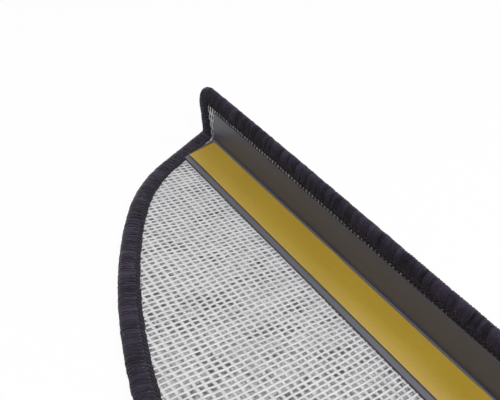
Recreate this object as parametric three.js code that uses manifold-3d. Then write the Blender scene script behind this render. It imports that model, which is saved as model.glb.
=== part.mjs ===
// Half-round stair tread mat. It lies on its pile with the underside up, and its nosing lip stands at the back.
// The carpet is cut flat, bound with yarn all round, and folded with a plastic angle inside the fold.
// Units are millimetres. X runs along the lip, Y from the arc to the lip, Z up from the pile face.
import * as THREE from "three";
import { mergeVertices } from "three/addons/utils/BufferGeometryUtils.js";
import Module from "manifold-3d";

const wasm = await Module();
wasm.setup();

// Cut of the carpet, measured over the edge binding. A wide arc at the rear meets a tighter arc at each shoulder,
// and from there both sides run straight across the fold to the lip's corners.
const CUT_LENGTH = 666; // along the lip's edge, before its corners are rounded
const TREAD_REACH = 182.5; // flat tread, from the fold to the rear of the arc
const LIP_RISE = 33.8; // straight part of the lip, above the fold
const SHOULDER_RADIUS = 160;
const SHOULDER_START = THREE.MathUtils.degToRad(37); // turn of the outline where the shoulder's arc begins
const SIDE_SLOPE = THREE.MathUtils.degToRad(60); // between each straight side and the lip's edge, on the flat cut
const CORNER_RADIUS = 11; // the lip's two corners

// Layers of the carpet, from the pile face up
const PILE_THICKNESS = 4.8; // tufts with their primary cloth
const LATEX_THICKNESS = 0.5;
const GROUND_THICKNESS = 0.3; // the woven backing between its raised yarns
const YARN_RISE = 0.5; // raised weft yarns, above that ground
const GLUE_LINE = 0.1; // between layers that are stuck together

// Woven backing
const WEFT_PITCH = 5.1; // across the mat, from one raised yarn to the next
const WEFT_WIDTH = 2.2;
const WEFT_CREST = 1.1; // flat top of a raised yarn
const MESH_GAP = 2.4; // width of the gaps between raised yarns
const GAPS_PER_ROW = 4;
const WARP_BAND = 8; // width of a bundle of cross yarns, between two gaps of a row
const GAP_MARGIN = 5; // from the gaps to the stitching and to the angle

// Edge binding and the stitching that locks it
const BINDING_WIDTH = 9;
const BINDING_YARN = 1.3; // thickness of the wrapped yarn on the underside
const BINDING_FOOT = 0.2; // from the pile face to the lowest yarn
const BINDING_WRAP = 1.4; // yarn outside the carpet's edge
const BINDING_LIFT = 0.3; // clear gap around the carpet inside the binding
const BINDING_SHOULDER = 4.2; // how far in the rounded outer side reaches
const STITCH_WIDTH = 3;
const STITCH_RISE = 0.9;
const STITCH_CREST = 1.5; // flat top of the stitching
const STITCH_PRESSED = 0.2; // thickness of the stitching that the angle's ends lie on
const PILE_PRESSED = 1.9; // height at which the binding presses the pile in
const EDGE_SETBACK = 2.4; // from the binding's outer side to the carpet's own edge

// Plastic angle, tape and liner
const ANGLE_BED = 0.4; // adhesive between the backing and the angle
const ANGLE_FILLET = 1; // in its inner corner
const ANGLE_WALL = 1.2;
const ANGLE_TREAD_LEG = 37.4; // outside width on the tread
const ANGLE_LIP_LEG = 22.4; // outside height on the lip
const ANGLE_END_GAP = 2.1; // from the end of the bend to the stitching, along the fold
const TREAD_LEG_TAPER = 15.3; // how much shorter each end of the tread leg is at its free edge
const LIP_LEG_FLARE = 5.5; // how much longer each end of the lip leg is at its free edge
const TAPE_SETBACK = 2.7; // from the lip leg's inner face
const TAPE_WIDTH = 28.5;
const TAPE_THICKNESS = 0.4;
const TAPE_END_BY_LIP = 4.4; // from the angle's end to the tape's end, at the edge nearer the lip
const TAPE_END_BY_EDGE = 1.4; // the same at the tape's other edge
const LINER_THICKNESS = 0.15;
const LINER_OVERHANG = 0.4; // past the tape, on each side and end

// How finely curves are cut into facets
const REAR_STEPS = 12;
const SHOULDER_STEPS = 7;
const FOLD_STEPS = 6;
const CORNER_STEPS = 5;

// Heights above the pile face
const LATEX_LOW = PILE_THICKNESS + GLUE_LINE;
const LATEX_HIGH = LATEX_LOW + LATEX_THICKNESS;
const GROUND_LOW = LATEX_HIGH + GLUE_LINE;
const GROUND_HIGH = GROUND_LOW + GROUND_THICKNESS;
const CARPET = GROUND_HIGH + YARN_RISE;
const STITCH_LOW = CARPET + GLUE_LINE;
const ANGLE_LOW = CARPET + ANGLE_BED;
const ANGLE_HIGH = ANGLE_LOW + ANGLE_WALL;
const TAPE_LOW = ANGLE_HIGH + GLUE_LINE;
const LINER_LOW = TAPE_LOW + TAPE_THICKNESS + GLUE_LINE;

// Insets from the binding's outer side
const STITCH_INSET = BINDING_WIDTH + BINDING_LIFT;
const BAND_WIDTH = STITCH_INSET + STITCH_WIDTH; // binding and stitching together

// The fold. The woven backing keeps its length there, and the pile outside it stretches.
const FOLD_OUTER = ANGLE_HIGH + ANGLE_FILLET; // radius of the pile's outer face
const FOLD_LENGTH = (FOLD_OUTER - (GROUND_LOW + CARPET) / 2) * (Math.PI / 2);
const FOLD_Y = (TREAD_REACH - FOLD_OUTER) / 2; // centres the mat on the origin
const LIP_EDGE = FOLD_LENGTH + LIP_RISE;

// Takes a point of the flat carpet to its place: x along the lip, v across the mat with 0 at the fold's start,
// and n above the pile face.
function fold(x, v, n) {
  if (v <= 0) return new THREE.Vector3(x, FOLD_Y + v, n);
  if (v >= FOLD_LENGTH) return new THREE.Vector3(x, FOLD_Y + FOLD_OUTER - n, FOLD_OUTER + v - FOLD_LENGTH);
  const turn = ((v / FOLD_LENGTH) * Math.PI) / 2;
  const radius = FOLD_OUTER - n;
  return new THREE.Vector3(x, FOLD_Y + radius * Math.sin(turn), FOLD_OUTER - radius * Math.cos(turn));
}

// The rear arc's radius follows from the cut's length and depth: starting from a rear arc as tight as the shoulders,
// each millimetre of radius widens the cut by the same share.
function rearRadius() {
  const turnAway = 1 / Math.tan(SIDE_SLOPE);
  const share = Math.sin(SHOULDER_START) - turnAway * (1 - Math.cos(SHOULDER_START));
  const sideV = -TREAD_REACH + SHOULDER_RADIUS * (1 - Math.cos(SIDE_SLOPE));
  const halfLength = SHOULDER_RADIUS * Math.sin(SIDE_SLOPE) + turnAway * (LIP_EDGE - sideV);
  return SHOULDER_RADIUS + (CUT_LENGTH / 2 - halfLength) / share;
}
const REAR_RADIUS = rearRadius();
const REAR_CENTRE_V = REAR_RADIUS - TREAD_REACH;
const SHOULDER_X = (REAR_RADIUS - SHOULDER_RADIUS) * Math.sin(SHOULDER_START);
const SHOULDER_V = REAR_CENTRE_V - (REAR_RADIUS - SHOULDER_RADIUS) * Math.cos(SHOULDER_START);

// A point of the right half of the outline's arcs, where the outline has turned by this angle from the rear.
function arcPoint(turn, inset) {
  const onRear = turn <= SHOULDER_START;
  const radius = (onRear ? REAR_RADIUS : SHOULDER_RADIUS) - inset;
  const x = onRear ? 0 : SHOULDER_X;
  const v = onRear ? REAR_CENTRE_V : SHOULDER_V;
  return { x: x + radius * Math.sin(turn), v: v - radius * Math.cos(turn) };
}

// Half the width of the flat carpet on its straight sides.
function sideHalf(v, inset) {
  const start = arcPoint(SIDE_SLOPE, inset);
  return start.x + (v - start.v) / Math.tan(SIDE_SLOPE);
}

// The lip's rounded corner at an inset, which is sharp where the inset is larger than its radius.
function cornerAt(inset) {
  const rounding = Math.max(CORNER_RADIUS - inset, 0);
  const v = LIP_EDGE - inset - rounding;
  return { rounding, x: sideHalf(v, inset + rounding), v };
}

function cornerPoint(turn, inset) {
  const { rounding, x, v } = cornerAt(inset);
  return { x: x + rounding * Math.sin(turn), v: v - rounding * Math.cos(turn) };
}

// Even steps from one value to another, without the first.
function stepsBetween(from, to, count) {
  return Array.from({ length: count }, (_, i) => from + ((to - from) * (i + 1)) / count);
}

const ARC_TURNS = [
  ...stepsBetween(0, SHOULDER_START, REAR_STEPS),
  ...stepsBetween(SHOULDER_START, SIDE_SLOPE, SHOULDER_STEPS),
];
const FOLD_ROWS = [0, ...stepsBetween(0, FOLD_LENGTH, FOLD_STEPS)];
const CORNER_TURNS = [SIDE_SLOPE, ...stepsBetween(SIDE_SLOPE, Math.PI, CORNER_STEPS)];

// Half the width of the flat carpet at v, for an inset from its outer edge.
function halfWidth(v, inset) {
  const arcEnd = arcPoint(SIDE_SLOPE, inset).v;
  const corner = cornerAt(inset);
  const sideEnd = cornerPoint(SIDE_SLOPE, inset).v;
  if (v > sideEnd) return corner.x + Math.sqrt(Math.max(corner.rounding ** 2 - (v - corner.v) ** 2, 0));
  if (v > arcEnd) return sideHalf(v, inset);
  const joint = arcPoint(SHOULDER_START, inset);
  const centreX = v < joint.v ? 0 : SHOULDER_X;
  const centreV = v < joint.v ? REAR_CENTRE_V : SHOULDER_V;
  const radius = (v < joint.v ? REAR_RADIUS : SHOULDER_RADIUS) - inset;
  return centreX + Math.sqrt(Math.max(radius ** 2 - (v - centreV) ** 2, 0));
}

// Points v of the rows that a sheet with this inset is lofted through, from the rear of the arc to the lip's edge.
function sheetRows(inset) {
  const corners = CORNER_RADIUS > inset ? CORNER_TURNS : [Math.PI];
  return [
    arcPoint(0, inset).v,
    ...ARC_TURNS.map((turn) => arcPoint(turn, inset).v),
    ...FOLD_ROWS,
    ...corners.map((turn) => cornerPoint(turn, inset).v),
  ];
}

// Skins rings of points that all have the same count. Each ring runs anticlockwise, seen facing the next one.
function loft(rings, closed) {
  const count = rings[0].length;
  const index = [];
  const spans = closed ? rings.length : rings.length - 1;
  for (let i = 0; i < spans; i++) {
    const here = i * count;
    const next = ((i + 1) % rings.length) * count;
    for (let j = 0; j < count; j++) {
      const k = (j + 1) % count;
      index.push(here + j, next + j, here + k, here + k, next + j, next + k);
    }
  }
  const last = (rings.length - 1) * count;
  for (let j = 1; j < count - 1 && !closed; j++) {
    index.push(0, j, j + 1, last, last + j + 1, last + j);
  }
  const geometry = new THREE.BufferGeometry().setFromPoints(rings.flat());
  return geometry.setIndex(index);
}

// A layer that follows the fold, from the half width and the two heights of each of its rows.
function layer(rows) {
  const rings = rows.map(({ v, half, low, high }) => [
    fold(-half, v, low),
    fold(half, v, low),
    fold(half, v, high),
    fold(-half, v, high),
  ]);
  return loft(rings, false);
}

// A layer of the carpet between two heights, as wide as the cut at an inset.
function sheet(inset, low, high) {
  return layer(sheetRows(inset).map((v) => ({ v, half: halfWidth(v, inset), low, high })));
}

// Places along the closed outline, clockwise from the rear. Each takes an inset to a point of the flat carpet.
// Through the fold each place keeps one v, so that the swept section stays flat there.
function outlinePlaces() {
  const halfPlaces = [
    ...ARC_TURNS.map((turn) => (inset) => arcPoint(turn, inset)),
    ...FOLD_ROWS.map((v) => (inset) => ({ x: sideHalf(v, inset), v })),
    ...CORNER_TURNS.map((turn) => (inset) => cornerPoint(turn, inset)),
  ];
  const on = (side) => (place) => (inset) => [side * place(inset).x, place(inset).v];
  const rear = (inset) => [0, arcPoint(0, inset).v];
  return [rear, ...halfPlaces.map(on(-1)), ...halfPlaces.map(on(1)).toReversed()];
}

// Sweeps a section around the outline. The section's x is the inset from the outer edge and its y the height.
function sweepAround(section) {
  const rings = outlinePlaces().map((place) => section.map(({ x, y }) => fold(...place(x), y)));
  return loft(rings, true);
}

// Tufted pile: full thickness inside the binding, and a pressed edge that the binding wraps around.
function carpetPile() {
  const body = sheet(STITCH_INSET, 0, PILE_THICKNESS);
  const pressedEdge = sheet(EDGE_SETBACK, PILE_PRESSED, PILE_THICKNESS);
  return solidOf(body).add(solidOf(pressedEdge));
}

function latexCoat() {
  return solidOf(sheet(EDGE_SETBACK, LATEX_LOW, LATEX_HIGH));
}

// Woven backing: raised weft yarns along X on a thin ground, open in long gaps between bundles of cross yarns.
function wovenBacking() {
  const rear = arcPoint(0, EDGE_SETBACK).v;
  const edge = LIP_EDGE - EDGE_SETBACK;
  const yarnHeight = (v) => {
    const away = Math.abs(v / WEFT_PITCH - Math.round(v / WEFT_PITCH)) * WEFT_PITCH;
    const share = (WEFT_WIDTH / 2 - away) / ((WEFT_WIDTH - WEFT_CREST) / 2);
    return GROUND_HIGH + YARN_RISE * Math.min(Math.max(share, 0), 1);
  };
  const rows = sheetRows(EDGE_SETBACK);
  for (let k = Math.ceil(rear / WEFT_PITCH); k <= edge / WEFT_PITCH; k++) {
    for (const away of [-WEFT_WIDTH, -WEFT_CREST, WEFT_CREST, WEFT_WIDTH]) rows.push(k * WEFT_PITCH + away / 2);
  }
  const nearest = WEFT_PITCH / 50; // rows closer than this would leave slivers
  const inside = rows.filter((v) => v >= rear && v <= edge).sort((a, b) => a - b);
  const spaced = inside.filter((v, i) => i === 0 || v === edge || v - inside[i - 1] > nearest);
  const cloth = layer(
    spaced.map((v) => ({ v, half: halfWidth(v, EDGE_SETBACK), low: GROUND_LOW, high: yarnHeight(v) })),
  );
  return meshGaps(rear).reduce((backing, gap) => backing.subtract(gap), solidOf(cloth));
}

function meshGaps(rear) {
  const depth = CARPET - LATEX_HIGH;
  const side = MESH_GAP / 2 + GAP_MARGIN;
  const gaps = [];
  for (let k = Math.ceil(rear / WEFT_PITCH); k < 0; k++) {
    const v = (k + 0.5) * WEFT_PITCH;
    if (v - side < arcPoint(0, BAND_WIDTH).v || v + side > TREAD_LEG_EDGE) continue;
    const rowHalf = halfWidth(v - MESH_GAP / 2, BAND_WIDTH) - GAP_MARGIN;
    const length = (2 * rowHalf - (GAPS_PER_ROW - 1) * WARP_BAND) / GAPS_PER_ROW;
    if (length < WARP_BAND) continue;
    for (let i = 0; i < GAPS_PER_ROW; i++) {
      const box = new THREE.BoxGeometry(length, MESH_GAP, 2 * depth);
      box.translate(-rowHalf + length / 2 + i * (length + WARP_BAND), FOLD_Y + v, GROUND_LOW + depth / 2);
      gaps.push(solidOf(box));
    }
  }
  return gaps;
}

// Wrapped yarn: a rounded channel that holds the carpet's edge.
function edgeBinding() {
  const low = BINDING_FOOT;
  const slotLow = PILE_PRESSED - BINDING_LIFT;
  const slotHigh = CARPET + BINDING_LIFT;
  const high = slotHigh + BINDING_YARN;
  const section = new THREE.Shape();
  section.moveTo(BINDING_WIDTH, slotHigh);
  section.lineTo(BINDING_WIDTH - BINDING_YARN / 2, high);
  section.lineTo(BINDING_SHOULDER, high);
  section.absellipse(
    BINDING_SHOULDER,
    (low + high) / 2,
    BINDING_SHOULDER,
    (high - low) / 2,
    Math.PI / 2,
    (3 * Math.PI) / 2,
  );
  section.lineTo(BINDING_WIDTH - BINDING_YARN / 2, low);
  section.lineTo(BINDING_WIDTH, slotLow);
  section.lineTo(BINDING_WRAP, slotLow);
  section.lineTo(BINDING_WRAP, slotHigh);
  return solidOf(sweepAround(sectionPoints(section, 4)));
}

// Stitching in a low rounded row on the backing. The angle's ends press it flat where they lie on it.
function edgeStitching() {
  const middle = STITCH_INSET + STITCH_WIDTH / 2;
  const section = new THREE.Shape();
  section.moveTo(STITCH_INSET + STITCH_WIDTH, STITCH_LOW);
  section.lineTo(middle + STITCH_CREST / 2, STITCH_LOW + STITCH_RISE);
  section.lineTo(middle - STITCH_CREST / 2, STITCH_LOW + STITCH_RISE);
  section.lineTo(STITCH_INSET, STITCH_LOW);
  const row = solidOf(sweepAround(sectionPoints(section, 1)));
  const flattened = solidOf(angleLayer(BINDING_LIFT, STITCH_LOW + STITCH_PRESSED, ANGLE_HIGH));
  return row.subtract(flattened);
}

// A section's corners and curve points, each once.
function sectionPoints(section, divisions) {
  const points = section.getPoints(divisions);
  return points.filter((p, i) => i === 0 || (p.distanceTo(points[i - 1]) > 1e-6 && p.distanceTo(points[0]) > 1e-6));
}

// The angle on the flat carpet: its free edges, its inner corner's line, and half its length along the fold.
const LIP_FACE = FOLD_OUTER - ANGLE_HIGH; // inner face of the lip leg, from the fold's start
const TREAD_LEG_EDGE = FOLD_OUTER - ANGLE_LOW - ANGLE_TREAD_LEG;
const LIP_LEG_EDGE = FOLD_LENGTH + ANGLE_LOW + ANGLE_LIP_LEG - FOLD_OUTER;
const ANGLE_HALF = sideHalf(0, BAND_WIDTH) - ANGLE_END_GAP;

// A layer as large as the angle and a margin around it.
function angleLayer(margin, low, high) {
  const treadHalf = ANGLE_HALF - TREAD_LEG_TAPER + margin;
  const lipHalf = ANGLE_HALF + LIP_LEG_FLARE + margin;
  return layer([
    { v: TREAD_LEG_EDGE - margin, half: treadHalf, low, high },
    ...FOLD_ROWS.map((v) => ({ v, half: ANGLE_HALF + margin, low, high })),
    { v: LIP_LEG_EDGE + margin, half: lipHalf, low, high },
  ]);
}

function angleProfile() {
  return solidOf(angleLayer(0, ANGLE_LOW, ANGLE_HIGH));
}

// A strip on the tread leg as large as the tape and a margin around it.
function tapeStrip(margin, low, thickness) {
  const nearV = LIP_FACE - TAPE_SETBACK + margin;
  const farV = LIP_FACE - TAPE_SETBACK - TAPE_WIDTH - margin;
  const legHalf = (v) => ANGLE_HALF - (TREAD_LEG_TAPER * Math.min(v, 0)) / TREAD_LEG_EDGE;
  const high = low + thickness;
  return layer([
    { v: farV, half: legHalf(farV) - TAPE_END_BY_EDGE + margin, low, high },
    { v: nearV, half: legHalf(nearV) - TAPE_END_BY_LIP + margin, low, high },
  ]);
}

function adhesiveTape() {
  return solidOf(tapeStrip(0, TAPE_LOW, TAPE_THICKNESS));
}

function releaseLiner() {
  return solidOf(tapeStrip(LINER_OVERHANG, LINER_LOW, LINER_THICKNESS));
}

// Turns a geometry into a solid that can be joined and cut.
function solidOf(geometry) {
  const bare = new THREE.BufferGeometry().setAttribute("position", geometry.getAttribute("position"));
  if (geometry.index) bare.setIndex(geometry.index);
  const merged = mergeVertices(bare, 1e-3);
  const kept = [];
  for (let i = 0; i < merged.index.count; i += 3) {
    const [a, b, c] = [merged.index.getX(i), merged.index.getX(i + 1), merged.index.getX(i + 2)];
    if (a !== b && b !== c && c !== a) kept.push(a, b, c);
  }
  const vertProperties = merged.attributes.position.array;
  return new wasm.Manifold(new wasm.Mesh({ numProp: 3, vertProperties, triVerts: new Uint32Array(kept) }));
}

function namedMesh(name, solid, color, roughness) {
  const { vertProperties, triVerts } = solid.getMesh();
  const geometry = new THREE.BufferGeometry()
    .setAttribute("position", new THREE.BufferAttribute(vertProperties, 3))
    .setIndex(new THREE.BufferAttribute(triVerts, 1));
  geometry.computeVertexNormals();
  const mesh = new THREE.Mesh(geometry, new THREE.MeshStandardMaterial({ color, roughness, metalness: 0 }));
  mesh.name = name;
  return mesh;
}

const mat = new THREE.Group();
mat.add(
  namedMesh("carpet_pile", carpetPile(), 0x34343a, 1),
  namedMesh("latex_coat", latexCoat(), 0x8d8d8c, 0.9),
  namedMesh("woven_backing", wovenBacking(), 0xe4e4e6, 0.7),
  namedMesh("edge_binding", edgeBinding(), 0x302d38, 0.9),
  namedMesh("edge_stitching", edgeStitching(), 0x25232b, 0.9),
  namedMesh("angle_profile", angleProfile(), 0x5c5a60, 0.45),
  namedMesh("adhesive_tape", adhesiveTape(), 0xd9d6c8, 0.6),
  namedMesh("release_liner", releaseLiner(), 0xb08f3a, 0.45),
);

export default mat;
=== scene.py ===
# %% [markdown]
# # An anti slip stair tread mat, lying on its face
#
# The mat is a carpet cut whose front edge is folded over the nosing of a stair.
# It lies with its pile on the floor, so that its woven backing, its yarn-bound edge, and the
# plastic angle with its strip of tape can be seen.
#
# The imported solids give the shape, and this script dresses them: yarns where the backing is woven,
# wraps and stitches where the edge is bound, loops where the pile is. The sizes of the cut below
# are the ones that the solids were built from. The scale and the length behind them are estimates.

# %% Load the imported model
import math
import random

import bpy
from mathutils import Matrix, Vector


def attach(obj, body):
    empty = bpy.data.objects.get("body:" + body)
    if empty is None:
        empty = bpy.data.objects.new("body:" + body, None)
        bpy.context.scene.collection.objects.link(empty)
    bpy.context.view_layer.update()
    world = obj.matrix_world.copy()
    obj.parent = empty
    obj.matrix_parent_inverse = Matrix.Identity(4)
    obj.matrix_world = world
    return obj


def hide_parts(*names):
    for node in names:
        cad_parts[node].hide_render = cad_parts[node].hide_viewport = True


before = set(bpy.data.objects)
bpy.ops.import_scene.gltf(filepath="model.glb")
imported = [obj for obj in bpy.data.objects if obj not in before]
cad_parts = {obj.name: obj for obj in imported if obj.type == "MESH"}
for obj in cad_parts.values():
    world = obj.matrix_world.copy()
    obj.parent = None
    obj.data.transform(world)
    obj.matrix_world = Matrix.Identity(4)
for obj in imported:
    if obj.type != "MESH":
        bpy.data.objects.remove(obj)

MM = 0.001
scene = bpy.context.scene
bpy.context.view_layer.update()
print("solids:", sorted(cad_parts))


def show(name, data):
    """Puts a mesh, lamp or camera into the scene as an object."""
    thing = bpy.data.objects.new(name, data)
    scene.collection.objects.link(thing)
    return thing


def new_mesh(name, points, edges, faces):
    """A mesh from its points, edges and faces."""
    mesh = bpy.data.meshes.new(name)
    mesh.from_pydata(points, edges, faces)
    return mesh


# %% [markdown]
# ## The camera
#
# The camera comes first, so that each piece can be judged from the right place as it is made.
# It looks down and to the left across the mat and is rolled a little. Its place and angles were
# solved from straight edges and outlines, with the pitch of the weave and the mat's length assumed.
# Near a flat object the perspective is strong, so the place matters more than the lens.

# %% Set the camera
CAMERA_PLACE = Vector((43.3, -186.65, 253.61)) * MM
CAMERA_AZIMUTH = math.radians(45.58)
CAMERA_ELEVATION = math.radians(34.11)
CAMERA_ROLL = math.radians(14.22)
PHOTO_WIDTH = 500
FOCAL_PIXELS = 619.26
SENSOR_WIDTH = 36


def add_camera():
    """A camera at the solved place: turned to its azimuth, tipped down, then rolled about its axis."""
    data = bpy.data.cameras.new("camera")
    data.sensor_width = SENSOR_WIDTH
    data.sensor_fit = "HORIZONTAL"
    data.lens = FOCAL_PIXELS / PHOTO_WIDTH * SENSOR_WIDTH
    data.clip_start = 10 * MM
    camera = show("camera", data)
    turn = Matrix.Rotation(CAMERA_AZIMUTH, 4, "Z")
    tip = Matrix.Rotation(math.pi / 2 - CAMERA_ELEVATION, 4, "X")
    roll = Matrix.Rotation(CAMERA_ROLL, 4, "Z")
    camera.matrix_world = Matrix.Translation(CAMERA_PLACE) @ turn @ tip @ roll
    return camera


scene.camera = add_camera()
print("camera lens", round(scene.camera.data.lens, 2), "mm")

# %% [markdown]
# ## Sums written as sums
#
# Materials and geometry trees both do arithmetic on sockets. Written node by node it is hard to
# read, so one small class wraps a socket and lets Python's own operators add the Math nodes.
# Every other node comes from one method that takes its type, its sockets' values and its settings.

# %% A socket that can be used in a sum
class Value:
    """One output of a node. 1 + mask, a * b and the like add a Math node to its tree."""

    def __init__(self, graph, socket):
        self.graph = graph
        self.socket = socket

    def math(self, operation, *others):
        values = dict(enumerate((self, *others)))
        return self.graph.add("ShaderNodeMath", values, operation=operation)

    def __add__(self, other):
        return self.math("ADD", other)

    def __sub__(self, other):
        return self.math("SUBTRACT", other)

    def __mul__(self, other):
        return self.math("MULTIPLY", other)

    def __truediv__(self, other):
        return self.math("DIVIDE", other)

    __radd__ = __add__
    __rmul__ = __mul__

    def clamp(self):
        """Kept between 0 and 1."""
        return self.math("MAXIMUM", 0).math("MINIMUM", 1)

    def __getitem__(self, name):
        """Another output of the same node."""
        return Value(self.graph, find_socket(self.socket.node.outputs, name))


# %% A tree that is filled one node at a time
def find_socket(sockets, name):
    """A socket by its number, its name or its identifier. Of several alike, the one in use."""
    if isinstance(name, int):
        return sockets[name]
    alike = [socket for socket in sockets if name in (socket.name, socket.identifier)]
    in_use = [socket for socket in alike if socket.enabled]
    return (in_use or alike)[0]


class Graph:
    """A node tree and the one method that adds nodes to it."""

    def __init__(self, tree):
        self.tree = tree

    def add(self, kind, values=None, output=0, **settings):
        node = self.tree.nodes.new(kind)
        for name, setting in settings.items():
            if name == "stops":
                set_stops(node.color_ramp, setting)
            else:
                setattr(node, name, setting)
        self.feed(node, values or {})
        return Value(self, find_socket(node.outputs, output)) if len(node.outputs) else node

    def feed(self, node, values):
        """Gives a node's sockets their values or links."""
        for name, value in values.items():
            socket = find_socket(node.inputs, name)
            if isinstance(value, Value):
                self.tree.links.new(value.socket, socket)
            else:
                socket.default_value = value

    def vector(self, x=0, y=0, z=0):
        """Three numbers as one vector."""
        return self.add("ShaderNodeCombineXYZ", {"X": x, "Y": y, "Z": z})


def set_stops(ramp, stops):
    """Gives a colour ramp its two stops, as (place, colour) pairs."""
    for element, (place, colour) in zip(ramp.elements, stops):
        element.position = place
        element.color = colour


# %% [markdown]
# ## The cut, before it is folded
#
# The mat is made flat: the carpet is cut, its edge is bound, and only then is the front folded up.
# So every piece is first placed on the flat cut, by x along the lip's edge, v from the rear
# to the front, and n above the face of the pile. One map then folds all of them alike.
#
# The outline is a long arc at the rear, a tighter arc at each shoulder, a straight side, and a
# rounded corner at each end of the lip.

# %% Sizes of the cut and of its layers
CUT_LENGTH = 666 * MM
TREAD_REACH = 182.5 * MM
LIP_RISE = 33.8 * MM
SHOULDER_RADIUS = 160 * MM
SHOULDER_START = math.radians(37)
SIDE_SLOPE = math.radians(60)
CORNER_RADIUS = 11 * MM

FOLD_OUTER = 8.9 * MM
NEUTRAL_RADIUS = 3 * MM
FOLD_LENGTH = NEUTRAL_RADIUS * math.pi / 2
FOLD_Y = (TREAD_REACH - FOLD_OUTER) / 2
LIP_EDGE = FOLD_LENGTH + LIP_RISE

BINDING_TOP = 7.9 * MM
BINDING_FOOT = 0.2 * MM
BINDING_WIDTH = 10.1 * MM


def rear_radius():
    """Radius of the rear arc that lets the shoulders and sides end at the cut's full length."""
    lean = 1 / math.tan(SIDE_SLOPE)
    side_start = SHOULDER_RADIUS * (1 - math.cos(SIDE_SLOPE)) - TREAD_REACH
    half = SHOULDER_RADIUS * math.sin(SIDE_SLOPE) + lean * (LIP_EDGE - side_start)
    share = math.sin(SHOULDER_START) - lean * (1 - math.cos(SHOULDER_START))
    return SHOULDER_RADIUS + (CUT_LENGTH / 2 - half) / share


REAR_RADIUS = rear_radius()
REAR_CENTRE = REAR_RADIUS - TREAD_REACH
SHOULDER_X = (REAR_RADIUS - SHOULDER_RADIUS) * math.sin(SHOULDER_START)
SHOULDER_V = REAR_CENTRE - (REAR_RADIUS - SHOULDER_RADIUS) * math.cos(SHOULDER_START)
print("rear arc", round(REAR_RADIUS / MM, 1), "mm, lip edge at v", round(LIP_EDGE / MM, 1), "mm")


# %% The outline of the cut
def arc_point(turn, inset):
    """A point of the rear or the shoulder arc, moved in from the cut's edge."""
    if turn <= SHOULDER_START:
        radius = REAR_RADIUS - inset
        return radius * math.sin(turn), REAR_CENTRE - radius * math.cos(turn)
    radius = SHOULDER_RADIUS - inset
    return SHOULDER_X + radius * math.sin(turn), SHOULDER_V - radius * math.cos(turn)


def side_half(v, inset):
    """Half the cut's width at v, on the straight side."""
    x, start = arc_point(SIDE_SLOPE, inset)
    return x + (v - start) / math.tan(SIDE_SLOPE)


def corner_point(turn, inset):
    """A point of the lip's rounded corner."""
    rounding = max(CORNER_RADIUS - inset, 0)
    v = LIP_EDGE - inset - rounding
    x = side_half(v, inset + rounding)
    return x + rounding * math.sin(turn), v - rounding * math.cos(turn)


def outline(inset, arc_steps=36, corner_steps=12, lip_steps=24):
    """The closed edge, counter-clockwise seen from the backing, from the middle of the rear."""
    half = [arc_point(SIDE_SLOPE * i / arc_steps, inset) for i in range(arc_steps + 1)]
    corner_turn = math.pi - SIDE_SLOPE
    for i in range(corner_steps + 1):
        half.append(corner_point(SIDE_SLOPE + corner_turn * i / corner_steps, inset))
    end_x, end_v = half[-1]
    lip = [(end_x * (1 - 2 * i / lip_steps), end_v) for i in range(1, lip_steps)]
    return half + lip + [(-x, v) for x, v in reversed(half[1:])]


print("outline has", len(outline(0)), "points")


# %% Where a straight yarn enters and leaves the cut
HALVINGS = 30


def half_width(v, inset):
    """Half the cut's width at v, anywhere between the rear and the lip's edge."""
    side_start = arc_point(SIDE_SLOPE, inset)[1]
    if v >= side_start:
        return side_half(v, inset)
    shoulder_start = arc_point(SHOULDER_START, inset)[1]
    if v >= shoulder_start:
        radius = SHOULDER_RADIUS - inset
        return SHOULDER_X + math.sqrt(max(radius**2 - (SHOULDER_V - v) ** 2, 0))
    radius = REAR_RADIUS - inset
    return math.sqrt(max(radius**2 - (REAR_CENTRE - v) ** 2, 0))


def rear_v(x, inset):
    """The rear end of a line that runs from the rear to the lip at x."""
    low, high = inset - TREAD_REACH, LIP_EDGE - inset
    if abs(x) > half_width(high, inset):
        return high
    for _ in range(HALVINGS):
        middle = (low + high) / 2
        if half_width(middle, inset) < abs(x):
            low = middle
        else:
            high = middle
    return high


# %% [markdown]
# ## The fold over the nosing
#
# Behind the fold the mat lies flat. Through it the layers turn up by a quarter of a circle, the
# pile outside and the backing inside, and past it they stand upright. In Blender this could be a
# Simple Deform modifier, but that bends a whole object about one origin. A few sums on the
# position do it exactly, and every geometry tree ends with the same group of them.

# %% The fold as a group for geometry trees
def new_tree(name, numbers, **others):
    """A geometry tree with inputs for numbers and other kinds, and the node that they enter by."""
    tree = bpy.data.node_groups.new(name, "GeometryNodeTree")
    tree.interface.new_socket("Geometry", in_out="INPUT", socket_type="NodeSocketGeometry")
    for title, kind in ({title: "Float" for title in numbers} | others).items():
        tree.interface.new_socket(title, in_out="INPUT", socket_type="NodeSocket" + kind)
    tree.interface.new_socket("Geometry", in_out="OUTPUT", socket_type="NodeSocketGeometry")
    graph = Graph(tree)
    return graph, graph.add("NodeGroupInput")


def make_fold():
    """Takes a flat piece, with v as its y and n as its z, and folds it over the nosing."""
    titles = ["Outer Radius", "Bend Length", "Bend Start"]
    graph, entry = new_tree("fold over the nosing", titles)
    outer, length, start = [entry[title] for title in titles]
    place = graph.add("ShaderNodeSeparateXYZ", {0: graph.add("GeometryNodeInputPosition")})
    v = place["Y"]
    turn = (v / length).clamp() * (math.pi / 2)
    radius = outer - place["Z"]
    y = start + v.math("MINIMUM", 0) + radius * turn.math("SINE")
    z = outer + (v - length).math("MAXIMUM", 0) - radius * turn.math("COSINE")
    folded_place = graph.vector(place, y, z)
    moved = graph.add("GeometryNodeSetPosition", {"Geometry": entry, "Position": folded_place})
    graph.add("NodeGroupOutput", {0: moved})
    return graph.tree


FOLD = make_fold()
print("fold group:", len(FOLD.nodes), "nodes")


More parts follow.
